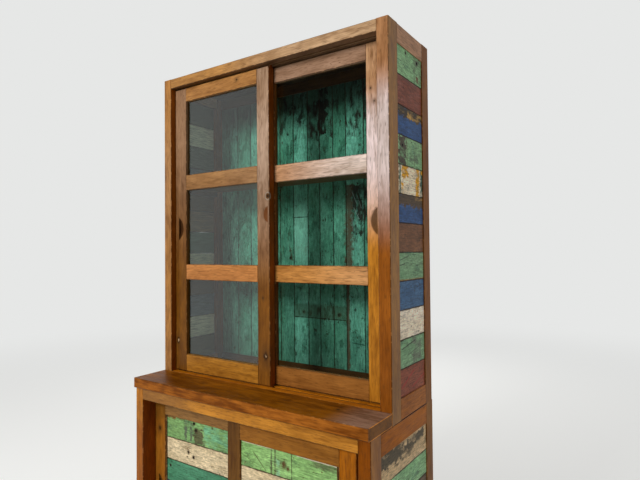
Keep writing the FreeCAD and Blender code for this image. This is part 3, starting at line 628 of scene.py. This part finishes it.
def addStroke(add, shade, place, layers, across, stroke):
    # a scratch, crack or stain line from one point to another
    startSide, startHeight, endSide, endHeight, width, hexCode = stroke
    middle = Vector((0.0, 0.0, (startHeight + endHeight) / 2 * mm))
    middle[across] = (startSide + endSide) / 2 * mm
    way = Vector((0.0, 0.0, (endHeight - startHeight) * mm))
    way[across] = (endSide - startSide) * mm
    flat = [0.0, 0.0, 1.0]
    flat[across] = 1.0
    off = add("VectorMath", place, middle, operation="SUBTRACT")
    off = add("VectorMath", off, flat, operation="MULTIPLY")
    side = add("VectorMath", off, way.normalized(), operation="CROSS_PRODUCT")
    side = add("VectorMath", side, operation="LENGTH")
    along = add("VectorMath", off, way.normalized(), operation="DOT_PRODUCT")
    along = add("Math", along, operation="ABSOLUTE")
    side = add("Math", layers["stray"], width * mm * strokeLine["wander"], side, operation="MULTIPLY_ADD")
    thin = add("MapRange", side, strokeLine["core"] * width * mm, strokeLine["side"] * width * mm,
               strokeLine["cover"], 0.0)
    ends = add("MapRange", along, way.length / 2 - strokeLine["endFade"] * mm, way.length / 2, 1.0, 0.0)
    drawn = add("Math", thin, ends, operation="MULTIPLY")
    return add("Mix", drawn, shade, colour(hexCode), data_type="RGBA")


def addStain(add, shade, place, layers, across, face, spot, kind):
    # a nail hole's rust and dirt, or a bare knot, round a point of the face
    side, height, radius = spot
    centre = [face, face, height * mm]
    centre[across] = side * mm
    away = add("VectorMath", place, centre, operation="DISTANCE")
    away = add("Math", layers["stray"], radius * mm * stainWander, away, operation="MULTIPLY_ADD")
    for start, end, cover, hexCode in stainLooks[kind]:
        ring = add("MapRange", away, start * radius * mm, end * radius * mm, cover, 0.0)
        shade = add("Mix", ring, shade, colour(hexCode), data_type="RGBA")
    return shade


def addWorn(add, layers, wear):
    # how much of the paint is lost: chips along the grain, and flecks
    middle = paintWear["noiseMiddle"]
    chipEdge = middle + paintWear["chipReach"] * (1 - wear)
    chipped = add("MapRange", layers["chip"], chipEdge, chipEdge + paintWear["chipFade"],
                  0.0, paintWear["chipCover"])
    fleckEdge = middle + paintWear["fleckReach"] * (1 - paintWear["fleckWear"] * wear)
    crowd = add("Math", layers["under"], paintWear["fleckCrowd"], -middle * paintWear["fleckCrowd"],
                operation="MULTIPLY_ADD")
    crowd = add("Math", layers["fleck"], crowd, operation="ADD")
    flecked = add("MapRange", crowd, fleckEdge, fleckEdge + paintWear["fleckFade"],
                  0.0, paintWear["fleckCover"])
    return add("Math", chipped, flecked, operation="MAXIMUM")


def addJointDirt(add, shade, parts, layers, joint, low, high):
    number = axes.index(joint)
    half = (high[number] - low[number]) / 2
    dirtFrom, dirtFull = [half - depth * mm for depth in paintWear["jointDirt"]]
    off = add("Math", parts[number], (low[number] + high[number]) / 2, operation="SUBTRACT")
    off = add("Math", off, operation="ABSOLUTE")
    off = add("Math", layers["stray"], paintWear["jointWander"] * mm, off, operation="MULTIPLY_ADD")
    dirt = add("MapRange", off, dirtFrom, dirtFull, 0.0, paintWear["jointCover"])
    return add("Mix", dirt, shade, colour(paintWear["jointShade"]), data_type="RGBA")


def makePaint(name, grain, facing, joint, look, shift, low, high, details, face):
    # low and high are the board's corners, joint the axis across which boards lie side by side,
    # and face the place of the painted face along the axis facing
    board = newMaterial(name)
    add = partial(addNode, board)
    coat, faded, below, bare, wear = boardLooks[look]
    across = 1 if facing == "X" else 0
    place = add("TexCoord").outputs["Object"]
    parts = add("SeparateXYZ", place).outputs
    layers = addLayers(add, add("VectorMath", place, shift, operation="ADD"), grain, paintWear["layers"])
    layers["stray"] = add("Math", layers["rim"], paintWear["noiseMiddle"], operation="SUBTRACT")
    tone = add("MapRange", layers["fade"], *paintWear["fading"])
    shade = add("Mix", tone, colour(coat), colour(faded), data_type="RGBA")
    older = paintWear["noiseMiddle"] + paintWear["olderReach"] * (1 - 2 * wear)
    old = add("MapRange", layers["under"], older, older + paintWear["olderFade"],
              0.0, paintWear["olderCover"])
    shade = add("Mix", old, shade, colour(below), data_type="RGBA")
    for patch in details.get("patches", ()):
        shade = addPatch(add, shade, place, layers, across, patch)
    worn = addWorn(add, layers, wear)
    timberTint = add("MapRange", layers["brush"], *paintWear["timberTint"])
    timber = add("VectorMath", colour(bare)[:3], timberTint, operation="SCALE")
    shade = add("Mix", worn, shade, timber, data_type="RGBA")
    tint = 1.0
    for layer, (start, end, depth) in paintWear["tints"].items():
        spots = add("MapRange", layers[layer], start, end, 1 - depth, 1 + depth)
        tint = add("Math", tint, spots, operation="MULTIPLY")
    shade = add("VectorMath", shade, tint, operation="SCALE")
    crack = add("MapRange", layers["crack"], *paintWear["cracks"])
    shade = add("Mix", crack, shade, colour(paintWear["crackShade"]), data_type="RGBA")
    shade = addChanges(add, shade, parts, details.get("changes", ()))
    for stroke in details.get("strokes", ()):
        shade = addStroke(add, shade, place, layers, across, stroke)
    for kind in stainLooks:
        for spot in details.get(kind, ()):
            shade = addStain(add, shade, place, layers, across, face, spot, kind)
    thick = axes.index(facing)
    back = low[thick] + high[thick] - face
    sawn = add("MapRange", parts[thick], face + paintWear["sawnFrom"] * (back - face),
               face + paintWear["sawnFull"] * (back - face), 0.0, 1.0)
    plain = add("VectorMath", colour(details.get("back", paintWear["timber"]))[:3], timberTint,
                operation="SCALE")
    shade = add("Mix", sawn, shade, plain, data_type="RGBA")
    shade = addJointDirt(add, shade, parts, layers, joint, low, high)
    rough = add("MapRange", worn, 0.0, 1.0, *paintWear["roughness"])
    height = add("Math", layers["brush"], paintWear["brushRelief"], operation="MULTIPLY")
    height = add("Math", height, worn, operation="SUBTRACT")
    height = add("Math", height, crack, operation="SUBTRACT")
    bump = add("Bump", paintWear["reliefStrength"], paintWear["relief"] * mm, sockets={"Height": height})
    shader = add("BsdfPrincipled", sockets={"Base Color": shade, "Roughness": rough, "Normal": bump,
                                            "Specular IOR Level": paintWear["gloss"]})
    add("OutputMaterial", shader)
    return board


# Boards are built one by one: a grid is extruded to the board's thickness, its rim is worn
# uneven, its edges are rounded and its faces made slightly wavy. Nail holes are cut in last.

boardShape = {
    "cell": 14.0,            # along and across a board
    "leastCells": 3,
    "rimWear": 0.7,
    "edgeRound": 1.6,
    "roundSteps": 2,
    "roundAngle": 50.0,      # in degrees, as the next one
    "smoothAngle": 35.0,
    "wave": 0.7,
    "waveLength": 45.0,
    "holeDepth": 5.0,
    "holeTaper": 0.45,       # a nail hole's floor beside its mouth
    "holeCorners": 9,
    "shiftStep": (0.31, 0.47, 0.59),
}

ripple = bpy.data.textures.new("board_ripple", "CLOUDS")
ripple.noise_scale = boardShape["waveLength"] * mm
ripple.noise_depth = 1


def makeBoard(name, low, high, facing, seed):
    # facing is the axis square to the board's broad faces
    size = [high[i] - low[i] for i in range(3)]
    thick = axes.index(facing)
    turn = (0.0, math.pi / 2, 0.0) if facing == "X" else (math.pi / 2, 0.0, 0.0)
    first, second = (2, 1) if facing == "X" else (0, 2)      # where the grid's own x and y end up
    columns, rows = [max(boardShape["leastCells"], round(size[i] / (boardShape["cell"] * mm)))
                     for i in (first, second)]
    bpy.ops.object.select_all(action="DESELECT")
    bpy.ops.mesh.primitive_grid_add(x_subdivisions=columns, y_subdivisions=rows, size=1.0, rotation=turn)
    board = bpy.context.object
    board.name = name
    board.data.name = name
    bpy.ops.object.transform_apply(location=False, rotation=True, scale=False)
    board.scale = size
    board.location = [(low[i] + high[i]) / 2 for i in range(3)]
    board.location[thick] = low[thick]
    bpy.ops.object.transform_apply(location=True, rotation=False, scale=True)
    push = [0.0, 0.0, 0.0]
    push[thick] = size[thick]
    bpy.ops.object.mode_set(mode="EDIT")
    bpy.ops.mesh.select_all(action="SELECT")
    bpy.ops.mesh.extrude_region_move(TRANSFORM_OT_translate={"value": push})
    bpy.ops.mesh.select_all(action="SELECT")
    bpy.ops.mesh.normals_make_consistent(inside=False)
    bpy.ops.mesh.select_all(action="DESELECT")
    bpy.ops.object.mode_set(mode="OBJECT")
    hair = 0.01 * mm
    for vertex in board.data.vertices:
        place = vertex.co
        vertex.select = any(min(place[i] - low[i], high[i] - place[i]) < hair for i in (first, second))
    bpy.ops.object.mode_set(mode="EDIT")
    bpy.ops.transform.vertex_random(offset=boardShape["rimWear"] * mm, seed=seed)
    bpy.ops.object.mode_set(mode="OBJECT")
    rounding = board.modifiers.new("worn edges", "BEVEL")
    rounding.width = boardShape["edgeRound"] * mm
    rounding.segments = boardShape["roundSteps"]
    rounding.limit_method = "ANGLE"
    rounding.angle_limit = math.radians(boardShape["roundAngle"])
    bpy.ops.object.modifier_apply(modifier=rounding.name)
    waves = board.modifiers.new("hand planed", "DISPLACE")
    waves.texture = ripple
    waves.strength = boardShape["wave"] * mm
    waves.mid_level = 0.5
    bpy.ops.object.modifier_apply(modifier=waves.name)
    return board


def cutNailHole(board, hole, facing, face, inward):
    # a tapered pit, cut by a cone that starts as far outside the face as it reaches in
    side, height, radius = hole
    place = [face, face, height * mm]
    place[1 if facing == "X" else 0] = side * mm
    turn = (0.0, -inward * math.pi / 2, 0.0) if facing == "X" else (inward * math.pi / 2, 0.0, 0.0)
    bpy.ops.object.select_all(action="DESELECT")
    bpy.ops.mesh.primitive_cone_add(vertices=boardShape["holeCorners"],
                                    radius1=boardShape["holeTaper"] * radius * mm, radius2=radius * mm,
                                    depth=2 * boardShape["holeDepth"] * mm, location=place, rotation=turn)
    cutter = bpy.context.object
    bpy.ops.object.select_all(action="DESELECT")
    bpy.context.view_layer.objects.active = board
    board.select_set(True)
    pit = board.modifiers.new("nail hole", "BOOLEAN")
    pit.object = cutter
    pit.operation = "DIFFERENCE"
    bpy.ops.object.modifier_apply(modifier=pit.name)
    bpy.data.objects.remove(cutter)


def solidsOf(piece, number):
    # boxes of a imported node's solids, in order along an axis: triangles that share a place
    # belong together
    mesh = piece.data
    digits = 6               # places are told apart to a thousandth of a millimetre
    groups = {}
    owner = {}

    def find(key):
        while owner[key] != key:
            owner[key] = owner[owner[key]]
            key = owner[key]
        return key

    for polygon in mesh.polygons:
        corners = [mesh.vertices[index].co for index in polygon.vertices]
        keys = [tuple(round(value, digits) for value in corner) for corner in corners]
        for key in keys:
            owner.setdefault(key, key)
        for key in keys[1:]:
            owner[find(key)] = find(keys[0])
    for key in owner:
        groups.setdefault(find(key), []).append(key)
    boxes = []
    for group in groups.values():
        columns = list(zip(*group))
        boxes.append(([min(column) for column in columns], [max(column) for column in columns]))
    return sorted(boxes, key=lambda box: box[0][number])


# The panels: from the bottom up, what paint each board wears and what has happened to it; on the back boards
# some of it is painted light and shade.
# Patches are (from side, to side, from height, to height, colour, cover), strokes are (side,
# height, side, height, width, colour), holes and knots are (side, height, radius), changes are
# as for the woods, and back is the shade of a board's other face.

far = 2000.0                 # past any board's end

upperSide = (
    ("red", {"strokes": ((-10, 800, 80, 838, 5, "a8382c"), (60, 790, 150, 812, 4, "a8382c"))}),
    ("mutedGreen", {"patches": ((66, 130, 857, 930, "6c7862", 0.45),),
                    "strokes": ((-9, 906, 90, 920, 3.5, "35302a"), (30, 884, 120, 898, 2.5, "5c6a54"))}),
    ("chalk", {"holes": ((110, 942, 1.6),)}),
    ("slate", {}),
    ("mutedGreen", {"patches": ((-far, far, 1090, 1097, "a5793f", 0.9),),
                    "strokes": ((-12, 1150, 50, 1162, 3, "3c4438"), (-12, 1136, 24, 1140, 2.5, "3c4438"))}),
    ("brown", {"holes": ((24, 1222, 1.8),)}),
    ("blue", {"patches": ((-far, far, 1300, 1400, "54402a", 1.0), (96, 166, 1322, 1336, "a67e42", 0.45))}),
    ("ivory", {"patches": ((-60, -10, 1330, 1420, "7e7458", 0.9), (-10, 2, 1326, 1424, "4a6858", 0.9),
                           (134, 170, 1326, 1424, "4e6c5c", 0.8), (8, 50, 1380, 1424, "e4a40e", 0.9),
                           (2, 20, 1326, 1366, "e4a40e", 0.5), (104, 130, 1326, 1424, "e4a40e", 0.8),
                           (140, 166, 1404, 1424, "e0a820", 0.7))}),
    ("green", {"patches": ((-12, 38, 1404, 1500, "4c4232", 0.7), (44, 150, 1414, 1500, "62785c", 0.35)),
               "strokes": ((44, 1410, 44, 1500, 4, "5a3a20"), (70, 1430, 74, 1486, 2.5, "4a4c34"),
                           (96, 1420, 100, 1470, 2.5, "5a4c30")), "holes": ((14, 1470, 4.0),)}),
    ("blue", {"patches": ((-far, far, 1550, 1600, "40301c", 1.0), (50, 166, 1552, 1582, "c09448", 0.45),
                          (-19, 30, 1562, 1574, "8a6c3a", 0.35))}),
    ("maroon", {"patches": ((-far, far, 1580, 1670, "8a5040", 0.3),), "holes": ((24, 1634, 1.5),)}),
    ("green", {"patches": ((98, 154, 1664, 1746, "66805c", 0.4), (116, 132, 1672, 1692, "7a5030", 0.9)),
               "strokes": ((104, 1664, 104, 1740, 2.5, "5c5a42"), (140, 1690, 140, 1744, 2.5, "5c5a42")),
               "holes": ((42, 1738, 3.5), (120, 1730, 5.0))}),
)
# the left side's boards are in another order, and most of them wear old paint inside too
leftBacks = ("6f674c", "fff4e0", "66788c", "6e5638", "fff4e0", "5a7a68",
             "8d6f50", "6e5638", "66788c", "6c7468", "fff4e0", "5f6a5c")
upperLeftSide = [(look, dict(details, back=shade))
                 for (look, details), shade in zip(upperSide[::-1], leftBacks, strict=True)]
lowerSide = (
    ("brown", {}), ("cream", {}), ("teal", {}), ("maroon", {}), ("slate", {}), ("bark", {}), ("green", {}),
    ("worn", {"patches": ((-far, 0, 622, 664, "564a34", 0.9), (-100, 60, 622, 646, "564a34", 0.75),
                          (20, 140, 626, 656, "564a34", 0.7), (-60, far, 606, 630, "6a5a40", 0.35))}),
)
leftDoorBoards = (
    ("bark", {}), ("green", {}), ("cream", {}), ("blue", {}),
    ("teal", {"holes": ((-339, 462, 3.0),)}),
    ("cream", {"holes": ((-252, 523, 4.2), (-228, 512, 4.2), (-258, 508, 1.8))}),
    ("leftMint", {"patches": ((-272, -258, 560, 628, "5c6650", 0.75), (-246, -232, 560, 628, "5c6650", 0.7),
                              (-228, -180, 550, 606, "5a5c3c", 0.85), (-180, far, 560, 628, "6ea67c", 0.5),
                              (-far, -310, 618, 632, "7d5528", 1.0), (-310, -270, 623, 632, "7d5528", 1.0)),
                  "strokes": ((-358, 632, -370, 552, 12, "4c4434"),),
                  "holes": ((-225, 620, 4.5), (-217, 601, 5.0), (-142, 622, 3.0))}),
)
rightDoorBoards = (
    ("brown", {}), ("slate", {}), ("mint", {}), ("maroon", {}), ("teal", {}), ("cream", {}),
    ("mint", {"patches": ((120, 128, 550, 628, "565c3e", 0.8), (133, 141, 550, 628, "5e6846", 0.75),
                          (141, 156, 550, 600, "90c090", 0.8), (250, 344, 608, 628, "66774c", 0.55)),
              "strokes": ((54, 606, 106, 558, 3, "5c6840"), (195, 550, 195, 628, 3, "4c5234"),
                          (14, 625.5, 130, 626, 2.5, "d2c4a8"), (210, 626, 346, 625, 3, "d8ccb4")),
              "knots": ((168, 591, 8.0), (182, 582, 4.0))}),
)
# painted shade high on the back boards, under the cabinet's top; backFoot makes them darker towards the
# bottom
backTopPaintedShade = (("Z", 1560, 1735, 0.8, "1a1a17"),)
backFoot = (("Z", 1010, 790, 0.34, "2e4236"),)
backBand = ("Z", 936, 945, 984, 996, 0.55, "455440")     # where a rail once crossed these boards
backUpright = ((176, 1400, 172, 1120, 26, "614838"), (168, 1110, 168, 777, 11, "5c3624"))     # and a post
# The dark patches high on these boards are old paint and dirt, and in part painted shade under the top.
backBoards = (
    ("jade", {}), ("fern", {}), ("jade", {}), ("fern", {}),
    ("fern", {"holes": ((-72, 1152, 4.0),),
              "patches": ((-120, -60, 1140, 1250, "4a4636", 0.25), (-120, -60, 1600, 1746, "2c3a32", 0.35))}),
    ("jade", {"holes": ((-16, 962, 4.5),),
              # the lighter band in the middle is a painted pool of the light that comes through the middle
              # pane
              "changes": (backBand, ("Z", 1110, 1180, 1290, 1390, 0.35, "a4dcca")),
              "strokes": ((-58, 1298, 20, 1298, 3, "1c1812"), (-58, 942, 18, 942, 3, "2a2018")),
              "patches": ((-58, 6, 1110, 1200, "5a6250", 0.15), (-60, 14, 1572, 1650, "2e2a26", 0.35),
                          (-60, 14, 1640, 1746, "24342c", 0.4), (-56, far, 942, 990, "2c3a2c", 0.25))}),
    ("fern", {"patches": ((-far, far, 1560, 1700, "2c2824", 0.5), (-far, far, 942, 990, "2c3a2c", 0.3)),
              "changes": (backBand,), "strokes": ((-20, 942, 70, 942, 3, "2a2018"),)}),
    ("fern", {"patches": ((-far, 90, 1580, 1746, "201c18", 0.7), (84, far, 1572, 1700, "2c2824", 0.35),
                          (-far, far, 942, 990, "2c3a2c", 0.3)), "changes": (backBand,),
              "holes": ((70, 1284, 2.5),), "strokes": ((50, 942, 120, 942, 3, "2a2018"),)}),
    ("fern", {"patches": ((-far, far, 1572, 1700, "2a3a30", 0.35), (-far, far, 942, 990, "2c3a2c", 0.25)),
              "holes": ((132, 958, 4.5), (108, 1220, 2.5)), "changes": (backBand,),
              "strokes": ((110, 942, 160, 942, 3, "2a2018"), *backUpright)}),
    ("jade", {"patches": ((182, far, 1230, 1400, "2c2c28", 0.6), (182, far, 1180, 1400, "3c4038", 0.3),
                          (-far, far, 1560, 1746, "302c28", 0.4), (178, 200, 850, 1000, "90a49a", 0.1)),
              "strokes": (*backUpright, (186, 1376, 204, 1332, 2.5, "93a5a2"),
                          (204, 1366, 222, 1316, 2, "7f918e"),
                          (192, 1322, 214, 1280, 2.5, "93a5a2"), (212, 1302, 196, 1262, 2, "83958f"),
                          (184, 1300, 190, 1240, 2, "7f918e"), (200, 1348, 232, 1344, 2, "1c1814"),
                          (180, 870, 232, 866, 2.5, "26382e"))}),
    ("fern", {"patches": ((-far, far, 1200, 1400, "30302a", 0.4), (-far, far, 1600, 1746, "302c28", 0.4))}),
    ("jade", {}), ("fern", {}),
)


def dressPanel(node, facing, grain, joint, looks, outward, seed, shared=()):
    # one board for each solid of the node, with the looks in turn; outward is the side that shows
    # its face, and shared are the changes of shade that run over all its boards
    thick = axes.index(facing)
    for index, (low, high) in enumerate(solidsOf(nodes[node], axes.index(joint))):
        look, details = looks[index % len(looks)]
        details = dict(details, changes=details.get("changes", ()) + shared)
        name = f"{node[:-1]}_{index + 1}"
        face = high[thick] if outward > 0 else low[thick]
        board = makeBoard(name, low, high, facing, seed + index)
        for hole in details.get("holes", ()):
            cutNailHole(board, hole, facing, face, -outward)
        bpy.ops.object.shade_smooth_by_angle(angle=math.radians(boardShape["smoothAngle"]))
        shift = [step * (seed + index) for step in boardShape["shiftStep"]]
        board.data.materials.clear()
        board.data.materials.append(makePaint(f"worn paint, {name}", grain, facing, joint, look, shift,
                                              low, high, details, face))
        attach(board, "cabinet" if "door" not in node else node.rsplit("_", 1)[0])
        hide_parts(node)


dressPanel("upper_right_side_boards", "X", "Y", "Z", upperSide, 1, 1)
dressPanel("upper_left_side_boards", "X", "Y", "Z", upperLeftSide, -1, 21)
dressPanel("lower_right_side_boards", "X", "Y", "Z", lowerSide, 1, 41)
dressPanel("lower_left_side_boards", "X", "Y", "Z", lowerSide, -1, 61)
dressPanel("lower_left_door_boards", "Y", "X", "Z", leftDoorBoards, -1, 81)
dressPanel("lower_right_door_boards", "Y", "X", "Z", rightDoorBoards, -1, 101)
dressPanel("upper_back_boards", "Y", "Z", "X", backBoards, -1, 121, backTopPaintedShade + backFoot)
dressPanel("lower_back_boards", "Y", "Z", "X", backBoards[:3], -1, 141)
print("painted boards made")

# A thin worn strip of old teak fills the joint between the boards and the outer stile of each
# lower door: dull and dark, it looks like a deep joint.

fillerStrip = {
    "thick": 3.0,
    "bottom": 149.0,
    "top": 628.0,
    "shade": "5e4426",
    "places": {              # left side, right side, the boards' face that it lies on, and its seed
        "lower_right_door": (341.0, 349.0, -173.0, 5),
        "lower_left_door": (-361.0, -355.0, -141.0, 6),
    },
    "shiftStep": (0.3, 0.2, 0.1),
}


def makeStrip(door, left, right, behind, seed):
    low = (left * mm, (behind - fillerStrip["thick"]) * mm, fillerStrip["bottom"] * mm)
    high = (right * mm, behind * mm, fillerStrip["top"] * mm)
    shift = [step * seed for step in fillerStrip["shiftStep"]]
    strip = makeBoard(f"{door}_filler_strip", low, high, "Y", seed)
    bpy.ops.object.shade_smooth_by_angle(angle=math.radians(boardShape["smoothAngle"]))
    strip.data.materials.clear()
    strip.data.materials.append(makeWood(f"old teak strip, {door}", "Z", fillerStrip["shade"], shift,
                                         low, high))
    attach(strip, door)


for door, place in fillerStrip["places"].items():
    makeStrip(door, *place)
print("filler strips made")
